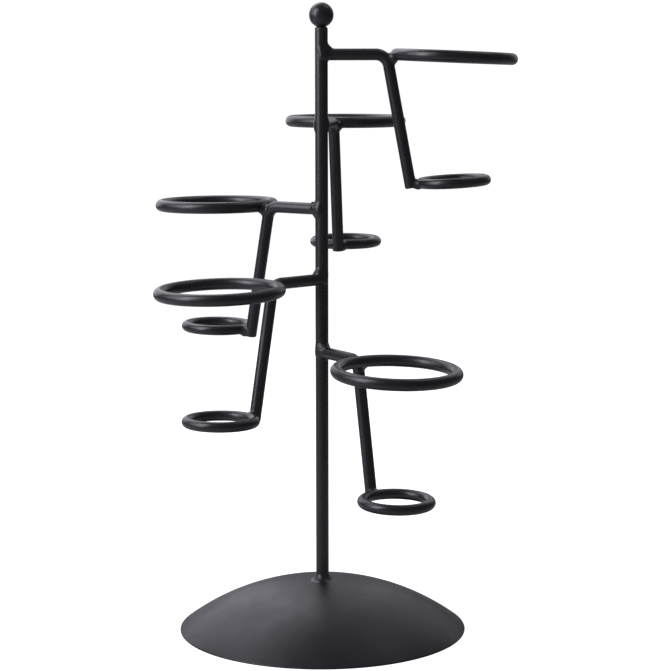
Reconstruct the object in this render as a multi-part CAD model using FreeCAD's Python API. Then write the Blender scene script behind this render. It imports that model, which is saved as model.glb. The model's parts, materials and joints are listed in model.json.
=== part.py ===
"""Mug tree: a domed base, one round post with a ball on top, and a spiral of welded arms.

Each arm is a bent rod that carries a wide mug ring at its bend and a small foot ring at its
lower end. The two rings share one axis, so a tapered mug drops through the upper ring and
stands in the lower one. Every joint is a weld, and each weld bead is its own solid.

Units are millimetres. The origin is the centre of the base's rim on the table, +Z runs up
the post, and arm 1 is the highest. Nodes are written to parts/NODE.step.
"""

import FreeCAD, Part

import math
import os
from collections import namedtuple

Vector = FreeCAD.Vector
Hand = namedtuple("Hand", "lift turn mug_droop foot_droop weld_above weld_below toe")

# Post and ball
POST_D = 8.2
TOTAL_HEIGHT = 400.0
BALL_D = 15.5
POST_TOP_ROUND = 1.4

# Base
BASE_D = 184.0
BASE_HEIGHT = 31.9           # from the table to the crown, without the post
BASE_SHEET = 1.5
RIM_EDGE = 0.8               # upright band round the bottom of the dome
RIM_EDGE_ROUND = 0.3
POST_HOLE_CLEARANCE = 0.1    # radial, between the post and the hole in the crown
POST_STUB = 2.0              # how far the post reaches below the inside of the crown

# Arms
ROD_D = 7.4
BEND_RADIUS = 8.4            # to the rod's centreline
LEG_DROP = 82.5              # from the arm's level run down to the centre of the leg's end
LEG_END_CHAMFER = 0.5
SEAT_RADIUS = 84.2           # from the post's axis to the mugs' axes

# Rings
MUG_RING_BORE = 65.5         # clear inside diameter
MUG_RING_WIRE_D = 7.4
FOOT_RING_BORE = 34.8
FOOT_RING_WIRE_D = 6.5
FOOT_RING_LIFT = 1.5         # ring plane above the centre of the leg's end
ROOT_GAP = 0.05              # between a ring and the rod it is welded to

# Where the arms stand on the post
TOP_ARM_BELOW_BALL = 24.4    # from the ball's centre down to the first arm's axis
TIER_DROP = 46.7
TIER_TURN = 72.0
FIRST_ARM_AZIMUTH = 8.0      # degrees from +X, anticlockwise from above

# How each arm was set and welded by hand, from the top arm down: its lift off the even
# spacing in mm, its turn off it in degrees, the droop of its two rings in degrees, the legs
# in mm of its bead up and down the post, and how far its leg was left long, in mm of height.
HAND_SETTING = [
    Hand(lift=0.0, turn=-1.0, mug_droop=2.4, foot_droop=-3.3, weld_above=4.8, weld_below=0.8, toe=1.3),
    Hand(lift=3.0, turn=-1.0, mug_droop=0.0, foot_droop=-1.2, weld_above=4.0, weld_below=2.0, toe=1.9),
    Hand(lift=-3.2, turn=-7.6, mug_droop=0.6, foot_droop=-1.2, weld_above=2.2, weld_below=4.2, toe=2.8),
    Hand(lift=-0.9, turn=-1.3, mug_droop=2.0, foot_droop=-0.4, weld_above=5.2, weld_below=0.6, toe=1.4),
    Hand(lift=-0.8, turn=6.3, mug_droop=3.2, foot_droop=1.7, weld_above=4.8, weld_below=1.2, toe=0.0),
]

# Weld beads
ARM_WELD_ALONG_ROD = 5.4     # leg of the bead along the rod, from the post's face
ARM_WELD_SIDE = 0.8          # how far the bead stands out beside the rod
ARM_WELD_TOE = 0.15          # thickness left where the bead runs out on the rod
ARM_WELD_WAIST = 0.35        # share of its run and of its legs where the hollow bead is thinnest
MUG_RING_WELD_R = 5.2
FOOT_RING_WELD_R = 4.4
FOOT_RING_WELD_RAISE = 1.0   # bead centre above the point where ring and leg meet
CROWN_WELD_OUT = 4.4         # leg of the bead on the crown, from the post's face
CROWN_WELD_UP = 5.6          # leg of the bead on the post, from the crown
CROWN_WELD_HOLLOW = 0.3      # share of its legs where the hollow face comes closest to the root

UP = Vector(0, 0, 1)
ORIGIN = Vector(0, 0, 0)
POST_R = POST_D / 2
BALL_R = BALL_D / 2
ROD_R = ROD_D / 2
MUG_WIRE_R = MUG_RING_WIRE_D / 2
FOOT_WIRE_R = FOOT_RING_WIRE_D / 2
MUG_RING_R = MUG_RING_BORE / 2 + MUG_WIRE_R
FOOT_RING_R = FOOT_RING_BORE / 2 + FOOT_WIRE_R
BASE_R = BASE_D / 2
BALL_CENTRE_Z = TOTAL_HEIGHT - BALL_R
CROWN_RISE = BASE_HEIGHT - RIM_EDGE
DOME_R = (BASE_R**2 + CROWN_RISE**2) / (2 * CROWN_RISE)
DOME_CENTRE = UP * (BASE_HEIGHT - DOME_R)


class ArmPlane:
    """One arm in its own upright plane: x out from the post's axis, z up from the level run's axis."""

    def __init__(self):
        self.mug_offset = BEND_RADIUS + ROD_R + MUG_WIRE_R + ROOT_GAP
        reach = math.sqrt(self.mug_offset**2 - BEND_RADIUS**2)
        self.bend_x = SEAT_RADIUS - MUG_RING_R - reach
        self.foot_offset = ROD_R + FOOT_WIRE_R + ROOT_GAP
        # The leg leans out by the angle that puts the foot ring on the mug ring's axis.
        across = SEAT_RADIUS - FOOT_RING_R - self.bend_x
        down = LEG_DROP - FOOT_RING_LIFT - BEND_RADIUS
        square = BEND_RADIUS + self.foot_offset
        self.lean = math.acos(square / math.hypot(across, down)) - math.atan2(down, across)

    def bend_centre(self):
        return self.bend_x, -BEND_RADIUS

    def leg_direction(self):
        return math.sin(self.lean), -math.cos(self.lean)

    def outward(self):
        """The direction square to the leg, away from the post."""
        return math.cos(self.lean), math.sin(self.lean)

    def on_bend(self, angle):
        """The point of the bend's centreline at that angle from its outward side, up to the run."""
        x, z = self.bend_centre()
        return x + BEND_RADIUS * math.cos(angle), z + BEND_RADIUS * math.sin(angle)

    def on_leg(self, z, off=0.0):
        """The point at height z that stands off the leg's axis by off."""
        (top_x, top_z), along, out = self.on_bend(self.lean), self.leg_direction(), self.outward()
        length = (top_z + off * out[1] - z) / -along[1]
        return top_x + off * out[0] + length * along[0], z

    def mug_wire(self):
        """Centre of the mug ring's wire where it lies against the bend."""
        return SEAT_RADIUS - MUG_RING_R, 0.0

    def mug_contact(self):
        (centre_x, centre_z), (wire_x, wire_z) = self.bend_centre(), self.mug_wire()
        share = (BEND_RADIUS + ROD_R + ROOT_GAP / 2) / self.mug_offset
        return centre_x + (wire_x - centre_x) * share, centre_z + (wire_z - centre_z) * share

    def foot_wire(self):
        """Centre of the foot ring's wire where it lies against the leg."""
        return self.on_leg(FOOT_RING_LIFT - LEG_DROP, self.foot_offset)

    def foot_contact(self):
        (wire_x, wire_z), out = self.foot_wire(), self.outward()
        back = FOOT_WIRE_R + ROOT_GAP / 2
        return wire_x - back * out[0], wire_z - back * out[1]


PLANE = ArmPlane()


class Tier:
    """One arm's place on the post, and how it was set there."""

    def __init__(self, index):
        self.hand = HAND_SETTING[index]
        self.z = BALL_CENTRE_Z - TOP_ARM_BELOW_BALL - index * TIER_DROP + self.hand.lift
        angle = math.radians(FIRST_ARM_AZIMUTH + index * TIER_TURN + self.hand.turn)
        self.out = Vector(math.cos(angle), math.sin(angle), 0)
        self.side = UP.cross(self.out)

    def point(self, place):
        """A point of the arm's plane, in the whole object's frame."""
        x, z = place
        return self.out * x + UP * (self.z + z)

    def direction(self, place):
        x, z = place
        return self.out * x + UP * z


def chamfer_end(bar, end, along, radius, chamfer):
    """Chamfers the end of a round bar that stops at end, heading along."""
    start = end - along * 2 * chamfer
    cone = Part.makeCone(radius + chamfer, radius - chamfer, 2 * chamfer, start, along)
    sleeve = Part.makeCylinder(2 * radius, 2 * chamfer, start, along)
    return bar.cut(sleeve.cut(cone))


def ball_finial():
    return Part.makeSphere(BALL_R, UP * BALL_CENTRE_Z)


def post():
    """The post, rounded at its top and dished there for the ball."""
    bottom = BASE_HEIGHT - BASE_SHEET - POST_STUB
    top = BALL_CENTRE_Z - math.sqrt(BALL_R**2 - (POST_R - POST_TOP_ROUND)**2)
    bar = Part.makeCylinder(POST_R, top - bottom, UP * bottom)
    rim = [edge for edge in bar.Edges if edge.BoundBox.ZMin > top - POST_TOP_ROUND]
    return bar.makeFillet(POST_TOP_ROUND, rim).cut(ball_finial())


def on_dome(radius, r):
    """The point at distance r from the axis on the dome's sphere of that radius."""
    return DOME_CENTRE + Vector(r, 0, math.sqrt(radius**2 - r**2))


def dome_arc(radius, outer_r, inner_r):
    middle_r = (outer_r + inner_r) / 2
    return Part.Arc(on_dome(radius, outer_r), on_dome(radius, middle_r), on_dome(radius, inner_r)).toShape()


def revolved(edges):
    face = Part.Face(Part.Wire(Part.__sortEdges__(edges)))
    return face.revolve(ORIGIN, UP, 360)


def base_dome():
    """A spun sheet dome on a flat rim, with a hole in its crown for the post."""
    hole_r = POST_R + POST_HOLE_CLEARANCE
    inside = DOME_R - BASE_SHEET
    inside_rim_r = math.sqrt(inside**2 - DOME_CENTRE.z**2)
    foot = Vector(BASE_R, 0, 0)
    dome = revolved([
        Part.makeLine(on_dome(inside, inside_rim_r), foot),
        Part.makeLine(foot, on_dome(DOME_R, BASE_R)),
        dome_arc(DOME_R, BASE_R, hole_r),
        Part.makeLine(on_dome(DOME_R, hole_r), on_dome(inside, hole_r)),
        dome_arc(inside, inside_rim_r, hole_r),
    ])
    lowest = [edge for edge in dome.Edges if edge.BoundBox.ZMax < RIM_EDGE / 2]
    outer = [edge for edge in lowest if edge.BoundBox.XMax > BASE_R - RIM_EDGE_ROUND]
    return dome.makeFillet(RIM_EDGE_ROUND, outer)


def post_weld():
    """The hollow-faced bead round the foot of the post, on the crown of the dome."""
    out_r = POST_R + CROWN_WELD_OUT
    root = Vector(POST_R, 0, BASE_HEIGHT - BASE_SHEET / 2)
    under = Vector(out_r, 0, root.z)
    toe = on_dome(DOME_R, out_r)
    top = Vector(POST_R, 0, BASE_HEIGHT + CROWN_WELD_UP)
    hollow_out = CROWN_WELD_HOLLOW * CROWN_WELD_OUT
    hollow_up = CROWN_WELD_HOLLOW * CROWN_WELD_UP
    hollow = Vector(POST_R + hollow_out, 0, BASE_HEIGHT + hollow_up)
    bead = revolved([
        Part.Arc(top, hollow, toe).toShape(),
        Part.makeLine(toe, under),
        Part.makeLine(under, root),
        Part.makeLine(root, top),
    ])
    return bead.cut(Part.makeSphere(DOME_R, DOME_CENTRE))


def arm(tier):
    """Level run, bend and leaning leg in one rod, coped to fit the post."""
    halfway = (PLANE.lean + math.pi / 2) / 2
    start = tier.point((0.0, 0.0))
    bend_start = tier.point(PLANE.on_bend(math.pi / 2))
    leg_start = tier.point(PLANE.on_bend(PLANE.lean))
    leg_end = tier.point(PLANE.on_leg(-LEG_DROP - tier.hand.toe))
    path = Part.Wire([
        Part.makeLine(start, bend_start),
        Part.Arc(bend_start, tier.point(PLANE.on_bend(halfway)), leg_start).toShape(),
        Part.makeLine(leg_start, leg_end),
    ])
    profile = Part.Wire([Part.makeCircle(ROD_R, start, tier.out)])
    rod = path.makePipeShell([profile], True, False)
    rod = chamfer_end(rod, leg_end, tier.direction(PLANE.leg_direction()), ROD_R, LEG_END_CHAMFER)
    return rod.cut(Part.makeCylinder(POST_R, 2 * ROD_D, start - UP * ROD_D))


def ring(tier, wire_place, droop, ring_r, wire_r):
    """A closed wire ring that reaches out from wire_place, drooping by that many degrees."""
    angle = math.radians(droop)
    out = tier.out * math.cos(angle) - UP * math.sin(angle)
    return Part.makeTorus(ring_r, wire_r, tier.point(wire_place) + out * ring_r, out.cross(tier.side))


def mug_ring(tier):
    return ring(tier, PLANE.mug_wire(), tier.hand.mug_droop, MUG_RING_R, MUG_WIRE_R)


def foot_ring(tier):
    return ring(tier, PLANE.foot_wire(), tier.hand.foot_droop, FOOT_RING_R, FOOT_WIRE_R)


def bead_section(tier, x, above, below, beside):
    """An upright oval round the rod, square to it at x, with those thicknesses round it."""
    tall = ROD_R + (above + below) / 2
    wide = ROD_R + beside
    centre = tier.point((x, (above - below) / 2))
    points = []
    for quarter in range(4):
        angle = quarter * math.pi / 2
        points.append(centre + tier.side * wide * math.cos(angle) + UP * tall * math.sin(angle))
    curve = Part.BSplineCurve()
    curve.interpolate(Points=points, PeriodicFlag=True)
    return Part.Wire([curve.toShape()])


def arm_weld(tier, rod):
    """The bead round the arm's end: it climbs the post and runs out hollow-faced along the rod."""
    hand = tier.hand
    toe = ARM_WELD_TOE
    waist = ARM_WELD_WAIST
    # The inner section stands inside the post, so that the bead meets the post all round.
    inner_x = POST_R / 2
    inner_share = 1 + (POST_R - inner_x) / ARM_WELD_ALONG_ROD

    def section(x, share):
        legs = (hand.weld_above, hand.weld_below, ARM_WELD_SIDE)
        return bead_section(tier, x, *[toe + (leg - toe) * share for leg in legs])

    bead = Part.makeLoft([
        section(inner_x, inner_share),
        section(POST_R + ARM_WELD_ALONG_ROD * waist, waist),
        section(POST_R + ARM_WELD_ALONG_ROD, 0.0),
    ], True, True)
    reach = 2 * (ROD_R + hand.weld_above + hand.weld_below)
    return bead.cut(Part.makeCylinder(POST_R, 2 * reach, tier.point((0.0, -reach)))).cut(rod)


def mug_ring_weld(tier, rod, ring_solid):
    """The bead in the notch between the bend and the mug ring."""
    return Part.makeSphere(MUG_RING_WELD_R, tier.point(PLANE.mug_contact())).cut(rod).cut(ring_solid)


def foot_ring_weld(tier, rod, ring_solid):
    """The bead in the notch between the leg's end and the foot ring."""
    centre = tier.point(PLANE.foot_contact()) + UP * FOOT_RING_WELD_RAISE
    return Part.makeSphere(FOOT_RING_WELD_R, centre).cut(rod).cut(ring_solid)


def build():
    """Every node's solid, by name."""
    nodes = {
        "base_dome": base_dome(),
        "post": post(),
        "ball_finial": ball_finial(),
        "post_weld": post_weld(),
    }
    for index in range(len(HAND_SETTING)):
        tier = Tier(index)
        number = index + 1
        rod = arm(tier)
        upper = mug_ring(tier)
        lower = foot_ring(tier)
        nodes[f"arm_{number}"] = rod
        nodes[f"mug_ring_{number}"] = upper
        nodes[f"foot_ring_{number}"] = lower
        nodes[f"arm_weld_{number}"] = arm_weld(tier, rod)
        nodes[f"mug_ring_weld_{number}"] = mug_ring_weld(tier, rod, upper)
        nodes[f"foot_ring_weld_{number}"] = foot_ring_weld(tier, rod, lower)
    return nodes


def main():
    os.makedirs("parts", exist_ok=True)
    for name, shape in build().items():
        print(f"{name:20s} {len(shape.Solids)} solid, valid {shape.isValid()}, {shape.Volume:8.1f} mm3")
        shape.Solids[0].exportStep(f"parts/{name}.step")


main()
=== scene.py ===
import json
import logging
import math
from dataclasses import dataclass, field
from enum import Enum
from typing import Callable, NamedTuple, Sequence

import bmesh
import bpy
import numpy as np
from mathutils import Matrix, Vector


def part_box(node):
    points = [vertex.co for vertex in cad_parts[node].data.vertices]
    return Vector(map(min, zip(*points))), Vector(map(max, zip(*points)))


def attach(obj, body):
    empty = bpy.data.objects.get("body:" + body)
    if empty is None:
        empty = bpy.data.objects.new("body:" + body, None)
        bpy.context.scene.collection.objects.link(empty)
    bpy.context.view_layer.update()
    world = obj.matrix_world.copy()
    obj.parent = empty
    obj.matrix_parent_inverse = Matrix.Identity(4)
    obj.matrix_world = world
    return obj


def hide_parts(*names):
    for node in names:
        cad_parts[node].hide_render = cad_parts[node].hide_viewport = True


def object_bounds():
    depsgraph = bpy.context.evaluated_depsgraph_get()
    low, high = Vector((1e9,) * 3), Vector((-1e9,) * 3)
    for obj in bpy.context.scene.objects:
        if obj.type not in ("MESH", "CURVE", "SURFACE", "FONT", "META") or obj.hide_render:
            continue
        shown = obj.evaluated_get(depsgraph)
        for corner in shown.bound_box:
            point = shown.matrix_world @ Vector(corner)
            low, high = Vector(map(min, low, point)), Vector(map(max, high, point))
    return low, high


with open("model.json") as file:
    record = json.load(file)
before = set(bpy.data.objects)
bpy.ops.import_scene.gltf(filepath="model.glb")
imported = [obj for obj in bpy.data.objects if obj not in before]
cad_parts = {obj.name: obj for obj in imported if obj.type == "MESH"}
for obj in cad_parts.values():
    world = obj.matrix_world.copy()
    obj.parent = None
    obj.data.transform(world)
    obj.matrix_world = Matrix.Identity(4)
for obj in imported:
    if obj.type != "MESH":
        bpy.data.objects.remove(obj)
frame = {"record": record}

CAD_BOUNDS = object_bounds()
BODY = "root"
MM = 0.001
UP = np.array((0.0, 0.0, 1.0))
WHITE = (1.0, 1.0, 1.0, 1.0)
LAMP_TINT = (0.935, 0.91, 1.0)      # daylight soft boxes, a little cool
SHARP_EDGE = math.radians(40.0)
TOE_SOFTNESS = 0.3                  # how far a bead's toes are drawn out, as a share of its leg
LOG = logging.getLogger("mug_tree")

Array = np.ndarray
Material = bpy.types.Material
Mesh = bpy.types.Mesh
Node = bpy.types.Node
Object = bpy.types.Object
Socket = bpy.types.NodeSocket
Pair = tuple[float, float]
Field = Callable[[Array], Array]


class Slot(Enum):
    """The record's material slots, one for each kind of stock under the coat."""

    BASE = "base_coat"
    ROD = "rod_coat"
    RING = "ring_coat"
    WELD = "weld_bead"


# ---- node helpers


class NodeDesk:
    """A small helper that adds and wires nodes in one tree."""

    def __init__(self, tree: bpy.types.NodeTree) -> None:
        """Keeps the tree that the nodes go in."""
        self.tree = tree

    def add(self, kind: str, settings: dict | None = None, **inputs: object) -> Node:
        """Adds one node.

        Args:
            kind: the node's type name.
            settings: attributes to set on the node itself.
            inputs: values or output sockets for its inputs, by name with _ for a space.

        Returns:
            The new node.
        """
        node = self.tree.nodes.new(kind)
        for key, value in (settings or {}).items():
            setattr(node, key, value)
        for key, value in inputs.items():
            self.feed(node.inputs[key.replace("_", " ")], value)
        return node

    def feed(self, socket: Socket, value: object) -> None:
        """Links an output socket into an input, or sets the input's own value.

        Args:
            socket: the input.
            value: an output socket, or a plain value.
        """
        if isinstance(value, Socket):
            self.tree.links.new(value, socket)
        else:
            socket.default_value = value

    def math(self, operation: str, *values: object) -> Socket:
        """Adds a Math node.

        Args:
            operation: its operation, such as MULTIPLY.
            values: numbers or sockets, in order.

        Returns:
            The node's output socket.
        """
        node = self.tree.nodes.new("ShaderNodeMath")
        node.operation = operation
        for socket, value in zip(node.inputs, values):
            self.feed(socket, value)
        return node.outputs[0]


# ---- the finish


@dataclass(frozen=True)
class PowderCoat:
    """Satin black powder coat as it flows out on one kind of stock. Lengths are in metres."""

    slot: Slot
    dark: tuple[float, float, float] = (0.0102, 0.0096, 0.0142)
    light: tuple[float, float, float] = (0.0148, 0.0141, 0.0196)
    roughness: float = 0.36
    roughness_spread: float = 0.05
    refraction: float = 1.60
    peel_size: float = 0.0021
    peel_depth: float = 0.000011
    grain_size: float = 0.00042
    grain_depth: float = 0.0000016
    cloud_size: float = 0.022
    cloud_detail: float = 3.0
    peel_detail: float = 1.2
    drift_scale: float = 0.6            # size of the gloss's slow drift, over the clouds'
    drift_share: float = 0.75           # of the gloss's change; fine speckle is the rest
    speckle_scale: float = 2.0          # size of the speckle, over the grain's
    noise_range: Pair = (0.3, 0.7)      # what a noise mostly spans
    spin_pitch: float = 0.0
    spin_depth: float = 0.0
    spin_wander: float = 0.03           # how far apart the spinning rings' wobbles are

    def material(self) -> Material:
        """Builds the coat's material.

        Returns:
            A material that reads Object coordinates only.
        """
        mat = bpy.data.materials.new(f"{self.slot.value}_powder")
        mat.use_nodes = True
        desk = NodeDesk(mat.node_tree)
        shader = mat.node_tree.nodes["Principled BSDF"]
        place = desk.add("ShaderNodeTexCoord").outputs["Object"]
        clouds = self._noise(desk, place, self.cloud_size, self.cloud_detail)
        tone = desk.add("ShaderNodeMix", {"data_type": "RGBA"}, Factor=clouds)
        tone.inputs["A"].default_value = (*self.dark, 1.0)
        tone.inputs["B"].default_value = (*self.light, 1.0)
        desk.feed(shader.inputs["Base Color"], tone.outputs["Result"])
        desk.feed(shader.inputs["Roughness"], self._roughness(desk, place))
        desk.feed(shader.inputs["Normal"], self._relief(desk, place))
        shader.inputs["IOR"].default_value = self.refraction
        shader.inputs["Specular IOR Level"].default_value = 0.5
        return mat

    @staticmethod
    def _noise(desk: NodeDesk, place: Socket, size: float, detail: float = 1.0) -> Socket:
        """Adds a noise whose features are about size metres across."""
        noise = desk.add("ShaderNodeTexNoise", Vector=place, Scale=1.0 / size, Detail=detail)
        return noise.outputs["Fac"]

    def _roughness(self, desk: NodeDesk, place: Socket) -> Socket:
        """Lets the gloss drift with the film's thickness, and speckles it finely.

        Args:
            desk: the material's tree.
            place: object coordinates.

        Returns:
            The roughness socket.
        """
        drift = self._noise(desk, place, self.cloud_size * self.drift_scale, 2.0)
        speckle = self._noise(desk, place, self.grain_size * self.speckle_scale)
        mixed = desk.math(
            "ADD", desk.math("MULTIPLY", drift, self.drift_share),
            desk.math("MULTIPLY", speckle, 1.0 - self.drift_share),
        )
        low, high = self.noise_range
        spread = desk.add(
            "ShaderNodeMapRange", Value=mixed, From_Min=low, From_Max=high,
            To_Min=self.roughness - self.roughness_spread,
            To_Max=self.roughness + self.roughness_spread,
        )
        return spread.outputs["Result"]

    def _relief(self, desk: NodeDesk, place: Socket) -> Socket:
        """Stacks the orange peel, the powder's grain and, on spun sheet, faint spinning rings.

        Args:
            desk: the material's tree.
            place: object coordinates.

        Returns:
            The normal socket.
        """
        layers = [
            (self._noise(desk, place, self.peel_size, self.peel_detail), self.peel_depth),
            (self._noise(desk, place, self.grain_size), self.grain_depth),
        ]
        if self.spin_depth > 0.0:
            layers.append((self._spin(desk, place), self.spin_depth))
        normal = None
        for height, depth in layers:
            bump = desk.add("ShaderNodeBump", Strength=1.0, Distance=depth, Height=height)
            if normal is not None:
                desk.feed(bump.inputs["Normal"], normal)
            normal = bump.outputs["Normal"]
        return normal

    def _spin(self, desk: NodeDesk, place: Socket) -> Socket:
        """Draws the rings that the spinning tool left about the post's axis.

        Args:
            desk: the material's tree.
            place: object coordinates.

        Returns:
            The rings' height socket.
        """
        axes = desk.add("ShaderNodeSeparateXYZ", Vector=place)
        squares = [desk.math("MULTIPLY", axes.outputs[a], axes.outputs[a]) for a in ("X", "Y")]
        radius = desk.math("SQRT", desk.math("ADD", *squares))
        wobble = desk.math("MULTIPLY", self._noise(desk, place, self.spin_wander), self.spin_pitch)
        turns = desk.math("MULTIPLY", desk.math("ADD", radius, wobble), math.tau / self.spin_pitch)
        return desk.math("SINE", turns)


class Finishes:
    """The coat's material on each kind of stock."""

    def __init__(self) -> None:
        """Builds one material for each slot."""
        coats = (
            PowderCoat(
                Slot.BASE, roughness=0.40, refraction=1.50, peel_size=0.0026, spin_pitch=0.0045,
                spin_depth=0.0000045,
            ),
            PowderCoat(Slot.ROD, roughness=0.35),
            PowderCoat(Slot.RING, roughness=0.33, peel_size=0.0019),
            PowderCoat(
                Slot.WELD, roughness=0.34, roughness_spread=0.06, peel_size=0.0014, peel_depth=0.000015
            ),
        )
        self.by_slot = {coat.slot: coat.material() for coat in coats}

    def __getitem__(self, slot: Slot) -> Material:
        """The material for a slot."""
        return self.by_slot[slot]


# ---- pieces and meshes


class Bench:
    """Takes finished meshes, makes them pieces of the object and keeps count of them."""

    def __init__(self, finishes: Finishes) -> None:
        """Starts with no pieces."""
        self.finishes = finishes
        self.pieces: list[Object] = []

    def add(self, name: str, mesh: Mesh, slot: Slot, *nodes: str) -> Object:
        """Makes a mesh one piece of the object.

        Args:
            name: the piece's name.
            mesh: its mesh, in place in the whole object's frame.
            slot: the slot it takes its finish from.
            nodes: the CAD nodes that it stands for.

        Returns:
            The new object.
        """
        mesh.name = name
        mesh.materials.clear()
        mesh.materials.append(self.finishes[slot])
        piece = bpy.data.objects.new(name, mesh)
        bpy.context.scene.collection.objects.link(piece)
        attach(piece, BODY)
        if nodes:
            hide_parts(*nodes)
        self.pieces.append(piece)
        LOG.info("%s: %d faces, stands for %s", name, len(mesh.polygons), ", ".join(nodes) or "nothing")
        return piece


def face_out(mesh: Mesh, merge: float = 0.0) -> None:
    """Turns a mesh's faces outwards and shades it smooth.

    Args:
        mesh: the mesh.
        merge: vertices nearer than this become one first, in metres.
    """
    edit = bmesh.new()
    edit.from_mesh(mesh)
    if merge > 0.0:
        bmesh.ops.remove_doubles(edit, verts=edit.verts, dist=merge)
    bmesh.ops.recalc_face_normals(edit, faces=edit.faces)
    edit.to_mesh(mesh)
    edit.free()
    mesh.shade_smooth()


def arc(centre: Pair, radius: float, start: float, stop: float, steps: int) -> list[Pair]:
    """Points on an arc, from the angle start to the angle stop, in radians."""
    angles = [start + (stop - start) * i / steps for i in range(steps + 1)]
    return [(centre[0] + radius * math.cos(a), centre[1] + radius * math.sin(a)) for a in angles]


def lathe(profile: Sequence[Pair], steps: int, closed: bool) -> Mesh:
    """Turns a profile round the Z axis.

    Args:
        profile: (radius, height) points; a radius of 0 at an open end becomes a pole.
        steps: faces round the turn.
        closed: whether the last point joins the first, as on a ring of sheet.

    Returns:
        A closed mesh, smooth but for edges that turn by more than SHARP_EDGE.
    """
    vertices, rows, faces = [], [], []
    for radius, height in profile:
        if radius == 0.0:
            rows.append([len(vertices)] * steps)
            vertices.append((0.0, 0.0, height))
            continue
        rows.append([len(vertices) + i for i in range(steps)])
        for i in range(steps):
            angle = math.tau * i / steps
            vertices.append((radius * math.cos(angle), radius * math.sin(angle), height))
    for low, high in zip(rows, rows[1:] + rows[:1] if closed else rows[1:]):
        for i in range(steps):
            j = (i + 1) % steps
            # At a pole two corners are one, and the face is a triangle.
            faces.append(list(dict.fromkeys((low[i], low[j], high[j], high[i]))))
    mesh = bpy.data.meshes.new("turned")
    mesh.from_pydata(vertices, [], faces)
    face_out(mesh)
    mesh.set_sharp_from_angle(angle=SHARP_EDGE)
    return mesh


def rounded(corner: Pair, before: Pair, after: Pair, radius: float, steps: int = 6) -> list[Pair]:
    """Rounds one corner of a profile.

    Args:
        corner: the corner's point.
        before: the point that the profile comes from.
        after: the point that it goes on to.
        radius: how far back along each side the round starts.
        steps: how many pieces the round has.

    Returns:
        The points of the round, on a quadratic curve.
    """
    middle = np.array(corner)
    sides = [np.array(before) - middle, np.array(after) - middle]
    start, end = (middle + side / np.linalg.norm(side) * radius for side in sides)
    points = []
    for i in range(steps + 1):
        t = i / steps
        point = (1 - t) ** 2 * start + 2 * t * (1 - t) * middle + t * t * end
        points.append((float(point[0]), float(point[1])))
    return points


# ---- geometry node trees


class NodeTool:
    """A geometry node tree used as a shop tool: set its inputs, run it on a mesh, keep a plain mesh."""

    title = "tool"

    def __init__(self) -> None:
        """Builds the tree once."""
        self.tree = bpy.data.node_groups.new(self.title, "GeometryNodeTree")
        self.desk = NodeDesk(self.tree)
        self.tree.interface.new_socket("Geometry", in_out="INPUT", socket_type="NodeSocketGeometry")
        self.tree.interface.new_socket("Geometry", in_out="OUTPUT", socket_type="NodeSocketGeometry")
        self.sockets: dict[str, str] = {}
        self.source = None
        self.build()

    def build(self) -> None:
        """Adds the tree's own nodes; each tool has its own."""
        raise NotImplementedError

    def dial(self, name: str, kind: str, value: object = None) -> None:
        """Adds one named input to the tree.

        Args:
            name: the input's name.
            kind: its socket type, such as Float, Int or Material.
            value: its default.
        """
        socket = self.tree.interface.new_socket(name, in_out="INPUT", socket_type=f"NodeSocket{kind}")
        if value is not None:
            socket.default_value = value
        self.sockets[name] = socket.identifier

    def start(self) -> Node:
        """Adds the tree's input node and returns it."""
        self.source = self.desk.add("NodeGroupInput")
        return self.source

    def stored(self, name: str) -> Socket:
        """Adds a node that reads one of the mesh's own numbers, and returns its socket."""
        node = self.desk.add("GeometryNodeInputNamedAttribute", {"data_type": "FLOAT"}, Name=name)
        return node.outputs["Attribute"]

    def end(self, geometry: Socket) -> None:
        """Smooths the shape and ends the tree in Realize Instances and Set Material.

        Args:
            geometry: the socket that the finished shape comes from.
        """
        smooth = self.desk.add("GeometryNodeSetShadeSmooth", Geometry=geometry, Shade_Smooth=True)
        real = self.desk.add("GeometryNodeRealizeInstances", Geometry=smooth.outputs[0])
        dressed = self.desk.add(
            "GeometryNodeSetMaterial", Geometry=real.outputs[0], Material=self.source.outputs["Coat"]
        )
        out = self.desk.add("NodeGroupOutput")
        self.desk.feed(out.inputs["Geometry"], dressed.outputs[0])

    def run(self, mesh: Mesh, **settings: object) -> Mesh:
        """Runs the tree on a mesh.

        Args:
            mesh: what the tree works on.
            settings: values for the named inputs, with _ for a space.

        Returns:
            The result as a plain mesh.
        """
        holder = bpy.data.objects.new("holder", mesh)
        bpy.context.scene.collection.objects.link(holder)
        modifier = holder.modifiers.new(self.title, "NODES")
        modifier.node_group = self.tree
        for key, value in settings.items():
            modifier[self.sockets[key.replace("_", " ")]] = value
        graph = bpy.context.evaluated_depsgraph_get()
        graph.update()
        result = bpy.data.meshes.new_from_object(holder.evaluated_get(graph), depsgraph=graph)
        holder.modifiers.remove(modifier)
        bpy.data.objects.remove(holder)
        return result


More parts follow.
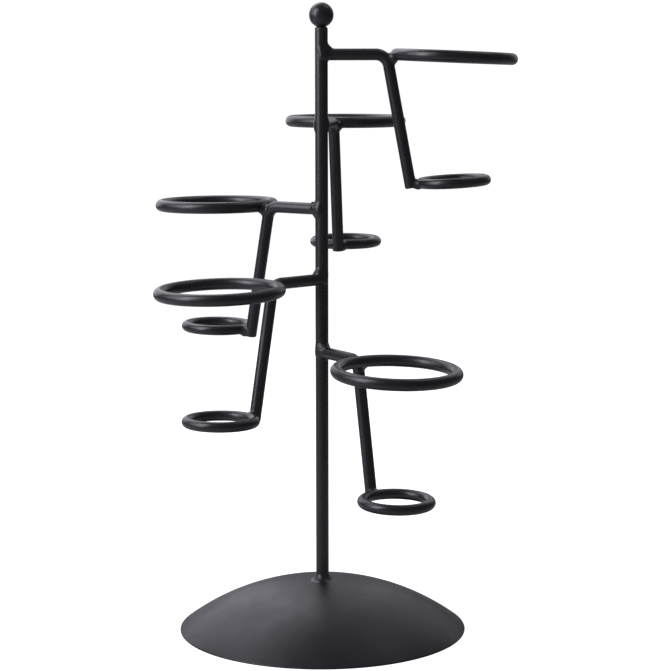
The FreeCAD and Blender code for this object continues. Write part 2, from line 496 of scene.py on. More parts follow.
class BarSweep(NodeTool):
    """Sweeps round stock along a chain of edges, whose vertices say how thick it is there."""

    title = "round_bar"
    thickness = "bar_radius"
    same_place = 1e-7       # vertices nearer than this are merged

    def build(self) -> None:
        """Chain to curve, curve to bar."""
        self.dial("Sides", "Int", 48)
        self.dial("Coat", "Material")
        source = self.start()
        desk = self.desk
        curve = desk.add("GeometryNodeMeshToCurve", Mesh=source.outputs["Geometry"])
        section = desk.add(
            "GeometryNodeCurvePrimitiveCircle", Resolution=source.outputs["Sides"], Radius=1.0
        )
        radius = self.stored(self.thickness)
        bar = desk.add(
            "GeometryNodeCurveToMesh", Curve=curve.outputs[0], Profile_Curve=section.outputs[0],
            Scale=radius, Fill_Caps=True,
        )
        self.end(bar.outputs[0])

    def sweep(self, points: Array, radii: Array, ring: bool, coat: Material) -> Mesh:
        """Makes a bar.

        Args:
            points: the centreline, an N by 3 array.
            radii: the stock's radius at each point.
            ring: whether the bar closes on itself.
            coat: its material.

        Returns:
            The bar's mesh, closed and facing outwards.
        """
        count = len(points)
        edges = [(i, i + 1) for i in range(count - 1)] + ([(count - 1, 0)] if ring else [])
        chain = bpy.data.meshes.new("chain")
        chain.from_pydata(points.tolist(), edges, [])
        chain.attributes.new(self.thickness, "FLOAT", "POINT").data.foreach_set("value", radii)
        bar = self.run(chain, Coat=coat)
        face_out(bar, self.same_place)
        return bar


class WeldRipple(NodeTool):
    """Raises the frozen ripples and the uneven build-up of a hand-laid bead on its smooth body."""

    title = "weld_ripple"
    along = "weld_along"
    across = "weld_across"
    cover = "weld_cover"
    noise_level = 0.45      # where the lumps' noise leaves the surface alone
    seed_stride = 3.7       # from one seed's noise to the next

    def build(self) -> None:
        """Scalloped ripples that bow across the bead, and slow lumps, pushed out along the normal."""
        for name, value in (
            ("Ripple pitch", 0.0013), ("Ripple height", 0.0002), ("Ripple bow", 0.0009),
            ("Lump size", 0.003), ("Lump height", 0.0004),
        ):
            self.dial(name, "Float", value)
        self.dial("Seed", "Int", 1)
        self.dial("Coat", "Material")
        source = self.start()
        desk = self.desk
        across = self.stored(self.across)
        bow = desk.math("MULTIPLY", desk.math("MULTIPLY", across, across), source.outputs["Ripple bow"])
        run = desk.math("ADD", self.stored(self.along), bow)
        phase = desk.math("DIVIDE", run, source.outputs["Ripple pitch"])
        saw = desk.math("SUBTRACT", desk.math("MULTIPLY", desk.math("FRACT", phase), 2.0), 1.0)
        scallop = desk.math("SUBTRACT", 1.0, desk.math("MULTIPLY", saw, saw))
        place = desk.add("GeometryNodeInputPosition").outputs[0]
        lumps = desk.add(
            "ShaderNodeTexNoise", {"noise_dimensions": "4D"}, Vector=place,
            Scale=desk.math("DIVIDE", 1.0, source.outputs["Lump size"]), Detail=1.0,
        )
        desk.feed(lumps.inputs["W"], desk.math("MULTIPLY", source.outputs["Seed"], self.seed_stride))
        lump = desk.math("SUBTRACT", lumps.outputs["Fac"], self.noise_level)
        height = desk.math(
            "ADD",
            desk.math("MULTIPLY", scallop, source.outputs["Ripple height"]),
            desk.math("MULTIPLY", lump, source.outputs["Lump height"]),
        )
        push = desk.math("MULTIPLY", height, self.stored(self.cover))
        offset = desk.add("ShaderNodeVectorMath", {"operation": "SCALE"})
        desk.feed(offset.inputs[0], desk.add("GeometryNodeInputNormal").outputs[0])
        desk.feed(offset.inputs["Scale"], push)
        raised = desk.add(
            "GeometryNodeSetPosition", Geometry=source.outputs["Geometry"], Offset=offset.outputs[0]
        )
        self.end(raised.outputs[0])


class Spatter(NodeTool):
    """Scatters small frozen drops over a patch of surface."""

    title = "weld_spatter"
    squat = 0.6             # a drop's height over its width

    def build(self) -> None:
        """Flattened drops of random size on the patch's faces."""
        for name, value in (("Density", 9000.0), ("Smallest", 0.00018), ("Largest", 0.0005)):
            self.dial(name, "Float", value)
        self.dial("Seed", "Int", 1)
        self.dial("Coat", "Material")
        source = self.start()
        desk = self.desk
        points = desk.add(
            "GeometryNodeDistributePointsOnFaces", Mesh=source.outputs["Geometry"],
            Density=source.outputs["Density"], Seed=source.outputs["Seed"],
        )
        drop = desk.add("GeometryNodeMeshIcoSphere", Radius=1.0, Subdivisions=3)
        size = desk.add("FunctionNodeRandomValue", {"data_type": "FLOAT"})
        for socket, name in ((2, "Smallest"), (3, "Largest")):
            desk.feed(size.inputs[socket], source.outputs[name])
        desk.feed(size.inputs["Seed"], source.outputs["Seed"])
        wide = size.outputs[1]
        tall = desk.math("MULTIPLY", wide, self.squat)
        scale = desk.add("ShaderNodeCombineXYZ", X=wide, Y=wide, Z=tall)
        drops = desk.add(
            "GeometryNodeInstanceOnPoints", Points=points.outputs["Points"],
            Instance=drop.outputs["Mesh"], Rotation=points.outputs["Rotation"], Scale=scale.outputs[0],
        )
        self.end(drops.outputs[0])


# ---- distance fields for the beads


def blend(first: Array, second: Array, reach: Array | float) -> Array:
    """Joins two distances with a hollow fillet.

    Args:
        first: distances to one shape.
        second: distances to the other.
        reach: the fillet's leg on either shape.

    Returns:
        The joined distances.
    """
    share = np.maximum(reach - np.abs(first - second), 0.0) / reach
    return np.minimum(first, second) - share * share * reach / 4.0


def fill(first: Array, second: Array, reach: Array, fullness: float) -> Array:
    """Joins two distances with a bead whose face is nearly flat between soft toes.

    Args:
        first: distances to one shape.
        second: distances to the other.
        reach: the bead's leg on either shape.
        fullness: 0 leaves the fillet hollow, 1 fills it to a flat face.

    Returns:
        The joined distances.
    """
    reach = reach / max(1.0, fullness + TOE_SOFTNESS * math.sqrt(2.0))
    hollow = blend(first, second, reach)
    face = (first + second - reach * fullness) / math.sqrt(2.0)
    return blend(hollow, face, TOE_SOFTNESS * reach)


@dataclass(frozen=True)
class Lobes:
    """How far a bead reaches, up, down and to its two sides, in millimetres."""

    up: float
    down: float
    side: float

    def reach(self, angle: Array) -> Array:
        """Works out how far the bead reaches at each angle round its run.

        Args:
            angle: from one side, and passing up, in radians.

        Returns:
            Its leg there, in metres.
        """
        rise = np.sin(angle)
        end = np.where(rise > 0.0, self.up, self.down)
        return MM * (self.side + (end - self.side) * rise**2)


class Lump(NamedTuple):
    """A blob on a bead: its angle round the run, and its distance out and its size in millimetres."""

    angle: float
    out: float
    size: float


@dataclass(frozen=True)
class ArmBeads:
    """The three beads listed for one arm."""

    post: Lobes
    mug: Lobes
    foot: Lobes
    post_lumps: tuple[Lump, ...] = ()
    mug_lumps: tuple[Lump, ...] = ()
    foot_lumps: tuple[Lump, ...] = ()
    toe: float = 0.0                # how far the leg was left long, in metres


@dataclass
class WeldBead:
    """One bead: the fillet between two pieces of stock, seen from a point inside both."""

    name: str
    centre: Array
    turn: Array            # the direction that the bead runs round
    zero: Array            # where its run starts, square to turn
    first: Field
    second: Field
    lobes: Lobes
    limit: float
    run_radius: float
    seed: int
    lumps: list[tuple[Array, float]] = field(default_factory=list)
    fullness: float = 0.8
    ripple_pitch: float = 1.7 * MM
    ripple_height: float = 0.08 * MM
    lump_height: float = 0.35 * MM
    sink: float = 0.04 * MM
    detail: int = 5             # subdivisions of the ball that the bead is cast from
    halvings: int = 22
    edge_share: float = 0.98    # of the limit; the bead is smooth past it

    def surface(self, points: Array) -> Array:
        """Measures from the bead and its two pieces together, sunk a hair below them.

        Args:
            points: an N by 3 array.

        Returns:
            Signed distances.
        """
        reach = self.lobes.reach(self.angle(points))
        joined = fill(self.first(points), self.second(points), reach, self.fullness) + self.sink
        for place, size in self.lumps:
            joined = blend(joined, np.linalg.norm(points - place, axis=1) - size, size)
        return joined

    def angle(self, points: Array) -> Array:
        """Angle round the bead's run, from zero."""
        rays = points - self.centre
        return np.arctan2(rays @ np.cross(self.turn, self.zero), rays @ self.zero)

    def mesh(self, ripple: WeldRipple, coat: Material) -> Mesh:
        """Casts rays out from the centre to the surface, then ripples the result.

        Args:
            ripple: the tool that raises the ripples.
            coat: the bead's material.

        Returns:
            A closed mesh.
        """
        edit = bmesh.new()
        bmesh.ops.create_icosphere(edit, subdivisions=self.detail + 1, radius=1.0)
        body = bpy.data.meshes.new(self.name)
        edit.to_mesh(body)
        edit.free()
        rays = np.zeros(len(body.vertices) * 3)
        body.vertices.foreach_get("co", rays)
        rays = rays.reshape(-1, 3)
        rays /= np.linalg.norm(rays, axis=1)[:, None]
        low, high = np.zeros(len(rays)), np.full(len(rays), self.limit)
        for _ in range(self.halvings):
            middle = (low + high) / 2.0
            inside = self.surface(self.centre + rays * middle[:, None]) < 0.0
            low = np.where(inside, middle, low)
            high = np.where(inside, high, middle)
        points = self.centre + rays * low[:, None]
        body.vertices.foreach_set("co", points.ravel())
        angle = self.angle(points)
        gap = (self.first(points) - self.second(points)) / self.lobes.reach(angle)
        cover = np.clip(1.0 - np.abs(gap), 0.0, 1.0) * (low < self.limit * self.edge_share)
        for name, values in (
            (ripple.along, angle * self.run_radius),
            (ripple.across, np.clip(gap, -1.0, 1.0)),
            (ripple.cover, cover),
        ):
            body.attributes.new(name, "FLOAT", "POINT").data.foreach_set("value", values)
        run = math.tau * self.run_radius
        pitch = run / round(run / self.ripple_pitch)      # whole ripples round the run
        return ripple.run(
            body, Ripple_pitch=pitch, Ripple_height=self.ripple_height, Lump_height=self.lump_height,
            Seed=self.seed, Coat=coat,
        )


def rod_field(start: Array, along: Array, radius: float, cut: bool = False) -> Field:
    """Measures from a round bar.

    Args:
        start: a point on its axis, which is its end where it is cut.
        along: the unit direction of its axis, out through the cut.
        radius: its radius.
        cut: whether it is cut square at start, or endless.

    Returns:
        The bar's field.
    """

    def distance(points: Array) -> Array:
        """Signed distances from the bar's surface."""
        rays = points - start
        past = rays @ along
        side = np.linalg.norm(rays - np.outer(past, along), axis=1) - radius
        if not cut:
            return side
        outside = np.hypot(np.maximum(side, 0.0), np.maximum(past, 0.0))
        return np.where((side > 0.0) & (past > 0.0), outside, np.maximum(side, past))

    return distance


def dome_field(centre: Array, radius: float) -> Field:
    """Measures from the sphere that the base is part of."""
    return lambda points: np.linalg.norm(points - centre, axis=1) - radius


# ---- sub-assemblies


@dataclass
class DomedBase:
    """The spun sheet dome that the post stands on. Lengths are in metres."""

    sheet: float = 1.5 * MM
    rim_edge: float = 0.8 * MM
    rim_round: float = 0.35 * MM
    hole_clearance: float = 0.1 * MM
    lip_round: float = 0.2 * MM
    shoulder_in: float = 0.4 * MM       # from the rim in to where the outer face's rows start
    waist_in: float = 0.3 * MM          # the same on the inner face
    hole_break: float = 0.1 * MM        # the coat's round at the hole's edge
    steps: int = 288
    rows: int = 72
    patch_steps: int = 48
    patch_rows: int = 4

    def __post_init__(self) -> None:
        """Takes the dome's width and height from the frame."""
        low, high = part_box("base_dome")
        post_low, post_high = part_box("post")
        self.radius = (high.x - low.x) / 2.0
        self.hole = (post_high.x - post_low.x) / 2.0 + self.hole_clearance
        self.crown = high.z
        rise = self.crown - self.rim_edge
        self.sphere = (self.radius**2 + rise**2) / (2.0 * rise)
        self.centre = np.array((0.0, 0.0, self.crown - self.sphere))

    def height(self, sphere: float, r: float) -> float:
        """Height of a sphere about the dome's centre, at r from the axis."""
        return float(self.centre[2]) + math.sqrt(sphere**2 - r**2)

    def mesh(self) -> Mesh:
        """Turns the sheet's section: outer face, rim, inner face and the hole's edge.

        Returns:
            A closed mesh.
        """
        inner = self.sphere - self.sheet
        inner_rim = math.sqrt(inner**2 - self.centre[2] ** 2)
        shoulder, waist = self.radius - self.shoulder_in, inner_rim - self.waist_in
        outside = [
            (float(r), self.height(self.sphere, float(r)))
            for r in np.linspace(self.hole + self.hole_break, shoulder, self.rows)
        ]
        inside = [
            (float(r), self.height(inner, float(r)))
            for r in np.linspace(waist, self.hole, self.rows // 2)
        ]
        edge = (self.radius, self.rim_edge)
        toe = (self.radius, 0.0)
        lip = (inner_rim, 0.0)
        profile = outside + rounded(edge, outside[-1], toe, self.rim_round)
        profile += rounded(toe, edge, lip, self.rim_round)
        profile += rounded(lip, toe, inside[0], self.lip_round) + inside
        profile.append((self.hole, self.height(self.sphere, self.hole) - self.hole_break))
        return lathe(profile, self.steps, closed=True)

    def spatter_patch(self, inner: float, outer: float) -> Mesh:
        """A ring of the dome's face, for drops to land on.

        Args:
            inner: its inner radius.
            outer: its outer radius.

        Returns:
            An open mesh, facing up.
        """
        steps, rows = self.patch_steps, self.patch_rows
        angles = np.linspace(0.0, math.tau, steps, endpoint=False)
        vertices = [
            (r * math.cos(a), r * math.sin(a), self.height(self.sphere, r))
            for r in np.linspace(inner, outer, rows) for a in angles
        ]
        faces = []
        for low in range(0, (rows - 1) * steps, steps):
            for i in range(steps):
                j = (i + 1) % steps
                faces.append((low + i, low + steps + i, low + steps + j, low + j))
        patch = bpy.data.meshes.new("patch")
        patch.from_pydata(vertices, [], faces)
        return patch


@dataclass
class Post:
    """The round post with its dished top, and the ball that sits there. Lengths are in metres."""

    top_round: float = 1.4 * MM
    end_chamfer: float = 0.6 * MM
    seat_flash: float = 0.35 * MM       # how far the flash stands out past the seat
    flash_round: float = 0.3 * MM
    seat_gap: float = 0.02 * MM
    seat_sink: float = 0.05 * MM        # how far the flash starts below the post's top
    steps: int = 96
    shaft_rows: int = 120
    top_rows: int = 10
    dish_rows: int = 5
    flash_rows: int = 6
    ball_rows: int = 72

    def __post_init__(self) -> None:
        """Takes the post's and the ball's places from the frame."""
        low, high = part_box("post")
        ball_low, ball_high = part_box("ball_finial")
        self.radius = (high.x - low.x) / 2.0
        self.bottom = low.z
        self.ball_radius = (ball_high.z - ball_low.z) / 2.0
        self.ball_centre = (ball_high.z + ball_low.z) / 2.0
        self.seat = self.radius - self.top_round
        self.top = self.ball_centre - math.sqrt(self.ball_radius**2 - self.seat**2)

    def bar_mesh(self) -> Mesh:
        """Turns the post: cut end, long face, rounded top and the dish under the ball.

        Returns:
            A closed mesh.
        """
        shaft_top = self.top - self.top_round
        shaft = np.linspace(self.bottom + 2 * MM, shaft_top - 1 * MM, self.shaft_rows)
        profile = [(0.0, self.bottom), (self.radius - self.end_chamfer, self.bottom)]
        profile += [(self.radius, self.bottom + self.end_chamfer)]
        profile += [(self.radius, float(z)) for z in shaft]
        profile += arc((self.seat, shaft_top), self.top_round, 0.0, math.pi / 2, self.top_rows)
        for i in range(1, self.dish_rows + 1):
            r = self.seat * (1.0 - i / self.dish_rows)
            dish = math.sqrt(self.ball_radius**2 - r**2) + self.seat_gap
            profile.append((r, self.ball_centre - dish))
        return lathe(profile, self.steps, closed=False)

    def ball_mesh(self) -> Mesh:
        """Turns the ball, with the small flash that its weld squeezed out round the seat.

        Returns:
            A closed mesh.
        """
        low = self.top - self.seat_sink
        profile = [(0.0, low), (self.seat - 0.1 * MM, low)]
        flash = self.seat + self.seat_flash - self.flash_round
        place = (flash, low + self.flash_round)
        profile += arc(place, self.flash_round, -math.pi / 2, math.pi / 2, self.flash_rows)
        first = math.asin((flash + self.seat_sink) / self.ball_radius) - math.pi / 2
        ball = arc((0.0, self.ball_centre), self.ball_radius, first, math.pi / 2, self.ball_rows)
        profile += ball[:-1] + [(0.0, self.ball_centre + self.ball_radius)]
        return lathe(profile, self.steps, closed=False)


@dataclass
class Ring:
    """A closed wire ring in the seat that the record gives it. Lengths are in metres."""

    kind: str
    number: int
    radius: float
    wire: float
    steps: int

    def __post_init__(self) -> None:
        """Takes the ring's centre and axis from the frame."""
        seats = {m["name"]: m for m in frame["record"]["mounts"]}
        seat = seats[f"{self.kind}_seat_{self.number}"]
        axis = np.array(seat["axis"], float)
        self.centre, self.axis = np.array(seat["pos_m"], float), axis / np.linalg.norm(axis)

    def nearest(self, out: Array, side: Array) -> Array:
        """The wire's centreline where it comes nearest the post, on an arm that heads out."""
        across = np.cross(side, self.axis)
        return self.centre - across * self.radius * np.sign(across @ out)

    def path(self, side: Array) -> Array:
        """Finds points round the wire's centreline, starting in the arm's plane.

        Args:
            side: the direction square to the arm's plane.

        Returns:
            The points, as an N by 3 array.
        """
        angles = np.linspace(0.0, math.tau, self.steps, endpoint=False)
        turn = np.outer(np.cos(angles), np.cross(side, self.axis)) + np.outer(np.sin(angles), side)
        return self.centre + self.radius * turn

    def distance(self, points: Array) -> Array:
        """Measures from the wire's surface.

        Args:
            points: an N by 3 array.

        Returns:
            Signed distances.
        """
        rays = points - self.centre
        up = rays @ self.axis
        flat = np.linalg.norm(rays - np.outer(up, self.axis), axis=1)
        return np.hypot(flat - self.radius, up) - self.wire


@dataclass
class Arm:
    """One arm: bent rod, mug ring, foot ring and its three beads. Lengths are in metres."""

    number: int
    post: Post
    beads: ArmBeads
    rod_radius: float = 3.7 * MM
    bend_radius: float = 8.4 * MM
    end_round: float = 0.9 * MM
    mug_radius: float = 36.45 * MM
    mug_wire: float = 3.697 * MM
    foot_radius: float = 20.65 * MM
    foot_wire: float = 3.25 * MM
    foot_lift: float = 1.5 * MM
    root_gap: float = 0.05 * MM
    root_depth: float = 1.2 * MM        # how far the rod's end stands inside the post
    mug_steps: int = 288
    foot_steps: int = 192
    run_steps: int = 24
    bend_steps: int = 30
    leg_steps: int = 42
    end_steps: int = 7
    lump_out: float = 1.0 * MM          # how far from the post its bead's lumps sit
    inside_post: float = 0.8            # where the post bead is cast from, over the post's radius
    limits: tuple[float, float, float] = (11.5 * MM, 7.6 * MM, 7.2 * MM)
    run_radii: tuple[float, float, float] = (4.6 * MM, 3.6 * MM, 3.2 * MM)

    def __post_init__(self) -> None:
        """Takes the arm's plane and the places of its bend, leg and rings from the frame."""
        self.mug = Ring("mug", self.number, self.mug_radius, self.mug_wire, self.mug_steps)
        self.foot = Ring("foot", self.number, self.foot_radius, self.foot_wire, self.foot_steps)
        flat = self.mug.centre * (1.0, 1.0, 0.0)
        self.out = flat / np.linalg.norm(flat)
        self.side = np.cross(UP, self.out)
        self.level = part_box(f"arm_{self.number}")[1].z - self.rod_radius
        self.mug_touch, self.foot_touch = (
            np.array((place @ self.out, place[2] - self.level))
            for place in (ring.nearest(self.out, self.side) for ring in (self.mug, self.foot))
        )
        offset = self.bend_radius + self.rod_radius + self.mug_wire + self.root_gap
        reach = math.sqrt(offset**2 - self.bend_radius**2)
        self.bend = np.array((self.mug_touch[0] - reach, -self.bend_radius))
        across, down = self.foot_touch - self.bend
        square = self.bend_radius + self.rod_radius + self.foot_wire + self.root_gap
        self.lean = math.acos(square / math.hypot(across, down)) + math.atan2(down, across)
        self.leg = np.array((math.sin(self.lean), -math.cos(self.lean)))
        self.outward = np.array((math.cos(self.lean), math.sin(self.lean)))
        self.leg_top = self.bend + self.bend_radius * self.outward
        drop = self.leg_top[1] - (self.foot_touch[1] - self.foot_lift - self.beads.toe)
        self.leg_end = self.leg_top + self.leg * drop / -self.leg[1]

    def point(self, place: Array) -> Array:
        """A point of the arm's plane, in the whole object's frame."""
        return self.out * place[0] + UP * (self.level + place[1])

    def direction(self, place: Array) -> Array:
        """A direction of the arm's plane, in the whole object's frame."""
        return self.out * place[0] + UP * place[1]

    def rod_path(self) -> tuple[Array, Array]:
        """The rod's centreline, with its cut end rounded by the coat.

        Returns:
            The points and the rod's radius at each.
        """
        run = np.linspace(self.post.radius - self.root_depth, self.bend[0], self.run_steps)
        stop = self.leg_end - self.leg * self.end_round
        flat = [np.array((x, 0.0)) for x in run]
        for angle in np.linspace(math.pi / 2, self.lean, self.bend_steps)[1:]:
            flat.append(self.bend + self.bend_radius * np.array((math.cos(angle), math.sin(angle))))
        shares = np.linspace(0.0, 1.0, self.leg_steps)[1:]
        flat += [self.leg_top + (stop - self.leg_top) * share for share in shares]
        radii = [self.rod_radius] * len(flat)
        for angle in np.linspace(0.0, math.pi / 2, self.end_steps)[1:]:
            flat.append(stop + self.leg * self.end_round * math.sin(angle))
            radii.append(self.rod_radius - self.end_round * (1.0 - math.cos(angle)))
        return np.array([self.point(p) for p in flat]), np.array(radii)

    def rod_distance(self, points: Array) -> Array:
        """Measures from the rod's run, bend and leg, as the mug ring's bead meets them.

        Args:
            points: an N by 3 array.

        Returns:
            Signed distances.
        """
        x = points @ self.out
        z = points[:, 2] - self.level
        beside = points @ self.side
        angle = np.arctan2(z - self.bend[1], x - self.bend[0])
        on_bend = np.abs(np.hypot(x - self.bend[0], z - self.bend[1]) - self.bend_radius)
        rays = np.stack((x - self.leg_top[0], z - self.leg_top[1]), 1)
        along = np.maximum(rays @ self.leg, 0.0)
        on_leg = np.linalg.norm(rays - np.outer(along, self.leg), axis=1)
        on_run = np.hypot(np.maximum(x - self.bend[0], 0.0), z)
        flat = np.where(angle > math.pi / 2, on_run, np.where(angle < self.lean, on_leg, on_bend))
        return np.hypot(flat, beside) - self.rod_radius

    def lump_places(self, lumps: tuple[Lump, ...], centre: Array, rise: Array) -> list[tuple[Array, float]]:
        """Where a bead's lumps sit.

        Args:
            lumps: the lumps, as they were given.
            centre: the bead's centre.
            rise: the direction that counts as up round this bead.

        Returns:
            The place and size of each.
        """
        return [
            (centre + out * MM * (math.cos(angle) * self.side + math.sin(angle) * rise), size * MM)
            for angle, out, size in lumps
        ]

    def post_bead(self) -> WeldBead:
        """Plans the bead between the post and the rod.

        Returns:
            The bead.
        """
        middle = self.point(np.zeros(2))
        inside = self.post.radius * self.inside_post
        return WeldBead(
            name=f"arm_bead_{self.number}", centre=middle + self.out * inside,
            turn=self.out, zero=self.side,
            first=rod_field(np.zeros(3), UP, self.post.radius),
            second=rod_field(middle, -self.out, self.rod_radius, cut=True),
            lobes=self.beads.post, limit=self.limits[0], run_radius=self.run_radii[0],
            seed=11 * self.number,
            lumps=self.lump_places(
                self.beads.post_lumps, middle + self.out * (self.post.radius + self.lump_out), UP
            ),
        )

    def mug_bead(self) -> WeldBead:
        """Plans the bead in the notch between the bend and the mug ring.

        Returns:
            The bead.
        """
        line = self.mug_touch - self.bend
        line = line / np.linalg.norm(line)
        touch = self.point(self.bend + line * (self.bend_radius + self.rod_radius))
        facing = self.direction(line)
        return WeldBead(
            name=f"mug_ring_bead_{self.number}", centre=touch, turn=facing, zero=self.side,
            first=self.rod_distance, second=self.mug.distance, lobes=self.beads.mug,
            limit=self.limits[1], run_radius=self.run_radii[1], seed=11 * self.number + 3,
            lumps=self.lump_places(self.beads.mug_lumps, touch, np.cross(facing, self.side)),
        )

    def foot_bead(self) -> WeldBead:
        """Plans the bead in the notch between the leg's end and the foot ring.

        Returns:
            The bead.
        """
        touch = self.point(self.foot_touch - self.outward * self.foot_wire)
        facing = self.direction(self.outward)
        return WeldBead(
            name=f"foot_ring_bead_{self.number}", centre=touch, turn=facing, zero=self.side,
            first=rod_field(
                self.point(self.leg_end), self.direction(self.leg), self.rod_radius, cut=True
            ),
            second=self.foot.distance, lobes=self.beads.foot,
            limit=self.limits[2], run_radius=self.run_radii[2], seed=11 * self.number + 7,
            lumps=self.lump_places(self.beads.foot_lumps, touch, np.cross(facing, self.side)),
        )

    def assemble(self, bench: Bench, bars: BarSweep, ripple: WeldRipple) -> None:
        """Makes the arm's six pieces.

        Args:
            bench: where the pieces go.
            bars: the tool that sweeps round stock.
            ripple: the tool that ripples beads.
        """
        n = self.number
        rod_coat, ring_coat = bench.finishes[Slot.ROD], bench.finishes[Slot.RING]
        points, radii = self.rod_path()
        bench.add(f"arm_rod_{n}", bars.sweep(points, radii, False, rod_coat), Slot.ROD, f"arm_{n}")
        for ring in (self.mug, self.foot):
            mesh = bars.sweep(ring.path(self.side), np.full(ring.steps, ring.wire), True, ring_coat)
            bench.add(f"{ring.kind}_ring_wire_{n}", mesh, Slot.RING, f"{ring.kind}_ring_{n}")
        weld_coat = bench.finishes[Slot.WELD]
        for bead, node in (
            (self.post_bead(), f"arm_weld_{n}"),
            (self.mug_bead(), f"mug_ring_weld_{n}"),
            (self.foot_bead(), f"foot_ring_weld_{n}"),
        ):
            bench.add(bead.name, bead.mesh(ripple, weld_coat), Slot.WELD, node)


@dataclass
class CrownJoint:
    """The bead round the foot of the post and the spatter about it. Lengths are in metres."""

    base: DomedBase
    post: Post
    lobes: Lobes = Lobes(4.8, 5.04, 4.56)
    blobs: tuple[Lump, ...] = (
        Lump(3.2, 8.4, 0.6), Lump(-0.1, 9.2, 0.7), Lump(0.7, 7.9, 0.8), Lump(2.0, 8.0, 0.8),
    )
    spatter_from: float = 10.0 * MM
    spatter_to: float = 19.0 * MM
    smallest_drop: float = 0.12 * MM
    largest_drop: float = 0.3 * MM
    drop_density: float = 9000.0        # in each square metre
    drop_seed: int = 4

    def bead(self) -> WeldBead:
        """Plans the bead: a soft fillet with a few blobs where the welder stopped and started.

        Returns:
            The bead.
        """
        lumps = []
        for angle, out, size in self.blobs:
            x, y = out * MM * math.cos(angle), out * MM * math.sin(angle)
            height = self.base.height(self.base.sphere, out * MM)
            lumps.append((np.array((x, y, height)), size * MM))
        return WeldBead(
            name="post_foot_bead", centre=UP * self.base.crown, turn=UP, zero=np.array((1.0, 0.0, 0.0)),
            first=rod_field(np.zeros(3), UP, self.post.radius),
            second=dome_field(self.base.centre, self.base.sphere),
            lobes=self.lobes, limit=11.0 * MM, run_radius=6.2 * MM, seed=5, lumps=lumps, fullness=0.55,
            lump_height=0.2 * MM, detail=6,
        )

    def assemble(self, bench: Bench, ripple: WeldRipple, spatter: Spatter) -> None:
        """Makes the bead and the drops round it.

        Args:
            bench: where the pieces go.
            ripple: the tool that ripples beads.
            spatter: the tool that scatters drops.
        """
        coat = bench.finishes[Slot.WELD]
        bench.add("post_foot_bead", self.bead().mesh(ripple, coat), Slot.WELD, "post_weld")
        patch = self.base.spatter_patch(self.spatter_from, self.spatter_to)
        drops = spatter.run(
            patch, Density=self.drop_density, Smallest=self.smallest_drop, Largest=self.largest_drop,
            Seed=self.drop_seed, Coat=coat,
        )
        bench.add("post_foot_spatter", drops, Slot.WELD)


# ---- studio


@dataclass(frozen=True)
class SoftBox:
    """One soft light, placed by its bearing from the camera's side of the object."""

    name: str
    bearing: float      # degrees to the right of the camera, seen from the object
    height: float       # degrees above the table
    distance: float
    width: float
    tall: float
    power: float

    def place(self, target: Vector) -> None:
        """Hangs the light, facing the target.

        Args:
            target: the point that it faces.
        """
        lamp = bpy.data.lights.new(self.name, "AREA")
        lamp.shape = "RECTANGLE"
        lamp.size = self.width
        lamp.size_y = self.tall
        lamp.energy = self.power
        lamp.color = LAMP_TINT
        turn, lift = math.radians(self.bearing), math.radians(self.height)
        flat = math.cos(lift)
        away = Vector((math.sin(turn) * flat, -math.cos(turn) * flat, math.sin(lift)))
        holder = bpy.data.objects.new(self.name, lamp)
        holder.location = target + away * self.distance
        holder.rotation_euler = away.to_track_quat("Z", "Y").to_euler()
        holder.visible_camera = False
        bpy.context.scene.collection.objects.link(holder)


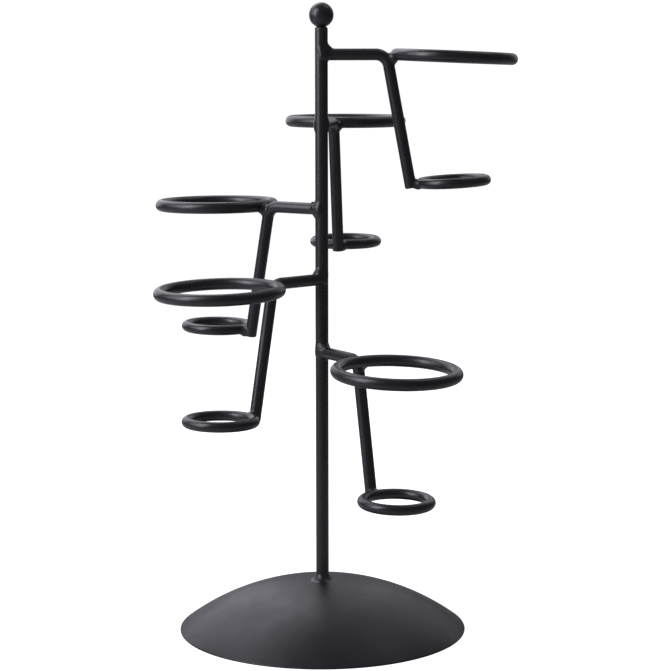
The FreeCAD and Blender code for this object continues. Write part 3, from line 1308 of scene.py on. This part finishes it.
@dataclass
class Studio:
    """A pale floor that sweeps up behind, soft lights and a white surround. Lengths are in metres."""

    floor_front: float = -3.5
    floor_back: float = 2.2
    floor_curve: float = 1.2
    wall_top: float = 2.6
    half_width: float = 5.0
    curve_steps: int = 24
    floor_shade: float = 0.55
    floor_glow: float = 0.98
    surround: float = 1.0
    ambient: float = 0.12
    boxes: tuple[SoftBox, ...] = (
        SoftBox("key", -61.0, 30.0, 1.0, 0.36, 0.95, 6.0),
        SoftBox("left", -88.0, 30.0, 1.0, 0.40, 0.70, 1.8),
        SoftBox("back_left_low", -150.0, 22.0, 1.1, 0.80, 0.90, 2.8),
        SoftBox("back_left_high", -150.0, 52.0, 1.1, 0.80, 0.50, 2.5),
        SoftBox("back", 180.0, 25.0, 1.2, 0.70, 1.00, 0.9),
        SoftBox("back_right", 152.0, 25.0, 1.1, 0.70, 0.90, 1.0),
        SoftBox("top_right", 120.0, 65.0, 1.1, 0.50, 0.50, 0.7),
    )

    def floor(self) -> None:
        """Lays one sheet: floor, a wide curve and a back wall."""
        profile = [(self.floor_front, 0.0), (self.floor_back, 0.0)]
        middle = (self.floor_back, self.floor_curve)
        profile += arc(middle, self.floor_curve, -math.pi / 2, 0.0, self.curve_steps)[1:]
        profile.append((self.floor_back + self.floor_curve, self.wall_top))
        vertices = [(x, y, z) for x in (-self.half_width, self.half_width) for y, z in profile]
        count = len(profile)
        faces = [(i, i + count, i + count + 1, i + 1) for i in range(count - 1)]
        mesh = bpy.data.meshes.new("studio_floor")
        mesh.from_pydata(vertices, [], faces)
        mesh.shade_smooth()
        mesh.materials.append(self.paper())
        sheet = bpy.data.objects.new("studio_floor", mesh)
        bpy.context.scene.collection.objects.link(sheet)

    def paper(self) -> Material:
        """Matt background paper, lit up to white where the camera looks straight at it.

        Returns:
            The floor's material.
        """
        mat = bpy.data.materials.new("studio_paper")
        mat.use_nodes = True
        desk = NodeDesk(mat.node_tree)
        shader = mat.node_tree.nodes["Principled BSDF"]
        shader.inputs["Base Color"].default_value = (self.floor_shade,) * 3 + (1.0,)
        shader.inputs["Roughness"].default_value = 0.9
        shader.inputs["Specular IOR Level"].default_value = 0.1
        shader.inputs["Emission Color"].default_value = WHITE
        seen = desk.add("ShaderNodeLightPath").outputs["Is Camera Ray"]
        desk.feed(shader.inputs["Emission Strength"], desk.math("MULTIPLY", seen, self.floor_glow))
        return mat

    def air(self) -> None:
        """Lights the scene softly from all round, with a white surround behind it."""
        world = bpy.data.worlds.new("studio_air")
        world.use_nodes = True
        bpy.context.scene.world = world
        desk = NodeDesk(world.node_tree)
        shader = world.node_tree.nodes["Background"]
        seen = desk.add("ShaderNodeLightPath").outputs["Is Camera Ray"]
        extra = desk.math("MULTIPLY", seen, self.surround - self.ambient)
        desk.feed(shader.inputs["Strength"], desk.math("ADD", extra, self.ambient))
        shader.inputs["Color"].default_value = WHITE

    def set_up(self, target: Vector) -> None:
        """Builds the floor, the surround and the lights.

        Args:
            target: the point that the lights face.
        """
        self.floor()
        self.air()
        for box in self.boxes:
            box.place(target)
        bpy.context.scene.view_settings.view_transform = "Standard"


@dataclass(frozen=True)
class ProductCamera:
    """The camera: a long lens above the object's middle, looking slightly down. Lengths in metres."""

    distance: float = 1.260
    height: float = 0.3661
    pitch: float = 7.918
    turn: float = 0.391
    roll: float = -0.078
    lens_mm: float = 107.33
    sensor_mm: float = 36.0
    nearest: float = 0.05
    furthest: float = 30.0

    def set_up(self) -> None:
        """Adds the camera and makes it the scene's."""
        data = bpy.data.cameras.new("camera")
        data.lens = self.lens_mm
        data.sensor_width = self.sensor_mm
        data.clip_start = self.nearest
        data.clip_end = self.furthest
        camera = bpy.data.objects.new("camera", data)
        place = Matrix.Translation((0.0, -self.distance, self.height))
        turn = Matrix.Rotation(math.radians(-self.turn), 4, "Z")
        pitch = Matrix.Rotation(math.radians(90.0 - self.pitch), 4, "X")
        roll = Matrix.Rotation(math.radians(self.roll), 4, "Z")
        camera.matrix_world = place @ turn @ pitch @ roll
        bpy.context.scene.collection.objects.link(camera)
        bpy.context.scene.camera = camera


# ---- the whole object


@dataclass
class MugTree:
    """The whole stand."""

    bench: Bench

    def build(self) -> None:
        """Builds every sub-assembly in order: base, post, ball, foot joint, arms from the top."""
        bars, ripple, spatter = BarSweep(), WeldRipple(), Spatter()
        base, post = DomedBase(), Post()
        self.bench.add("base_shell", base.mesh(), Slot.BASE, "base_dome")
        self.bench.add("post_bar", post.bar_mesh(), Slot.ROD, "post")
        self.bench.add("post_ball", post.ball_mesh(), Slot.ROD, "ball_finial")
        CrownJoint(base, post).assemble(self.bench, ripple, spatter)
        for arm in self.arms(post):
            arm.assemble(self.bench, bars, ripple)

    @staticmethod
    def arms(post: Post) -> list[Arm]:
        """Plans the arms, each with the beads listed for it.

        Args:
            post: the post that they stand on.

        Returns:
            The arms, from the top down.
        """
        beads = (
            ArmBeads(
                post=Lobes(4.6, 1.1, 2.8), mug=Lobes(2.8, 4.2, 4.0), foot=Lobes(2.8, 4.4, 4.2),
                toe=1.3 * MM,
            ),
            ArmBeads(
                post=Lobes(3.8, 3.4, 3.6), mug=Lobes(3.2, 4.2, 4.8), foot=Lobes(3.2, 4.6, 5.0),
                post_lumps=(Lump(-0.75, 4.3, 1.2),), mug_lumps=(Lump(0.35, 3.0, 1.0),), toe=1.9 * MM,
            ),
            ArmBeads(
                post=Lobes(2.9, 3.8, 3.6), mug=Lobes(2.8, 4.0, 4.2), foot=Lobes(2.8, 4.6, 4.6),
                post_lumps=(Lump(0.9, 4.4, 1.2), Lump(0.2, 4.2, 1.2)), toe=2.8 * MM,
            ),
            ArmBeads(
                post=Lobes(4.7, 1.2, 3.0), mug=Lobes(2.8, 4.0, 4.0), foot=Lobes(2.8, 3.8, 4.0),
                post_lumps=(Lump(1.0, 4.6, 1.3),), toe=1.4 * MM,
            ),
            ArmBeads(post=Lobes(4.6, 1.7, 3.0), mug=Lobes(2.8, 4.0, 4.0), foot=Lobes(3.0, 3.2, 3.8)),
        )
        return [Arm(number, post, given) for number, given in enumerate(beads, start=1)]


def main() -> None:
    """Builds the stand, the studio and the camera, and reports each piece."""
    logging.basicConfig(level=logging.INFO, format="%(message)s")
    bench = Bench(Finishes())
    MugTree(bench).build()
    Studio().set_up(Vector((0.0, 0.0, CAD_BOUNDS[1][2] / 2.0)))
    ProductCamera().set_up()
    faces = sum(len(piece.data.polygons) for piece in bench.pieces)
    LOG.info("%d pieces, %d faces", len(bench.pieces), faces)


if __name__ == "__main__":
    main()
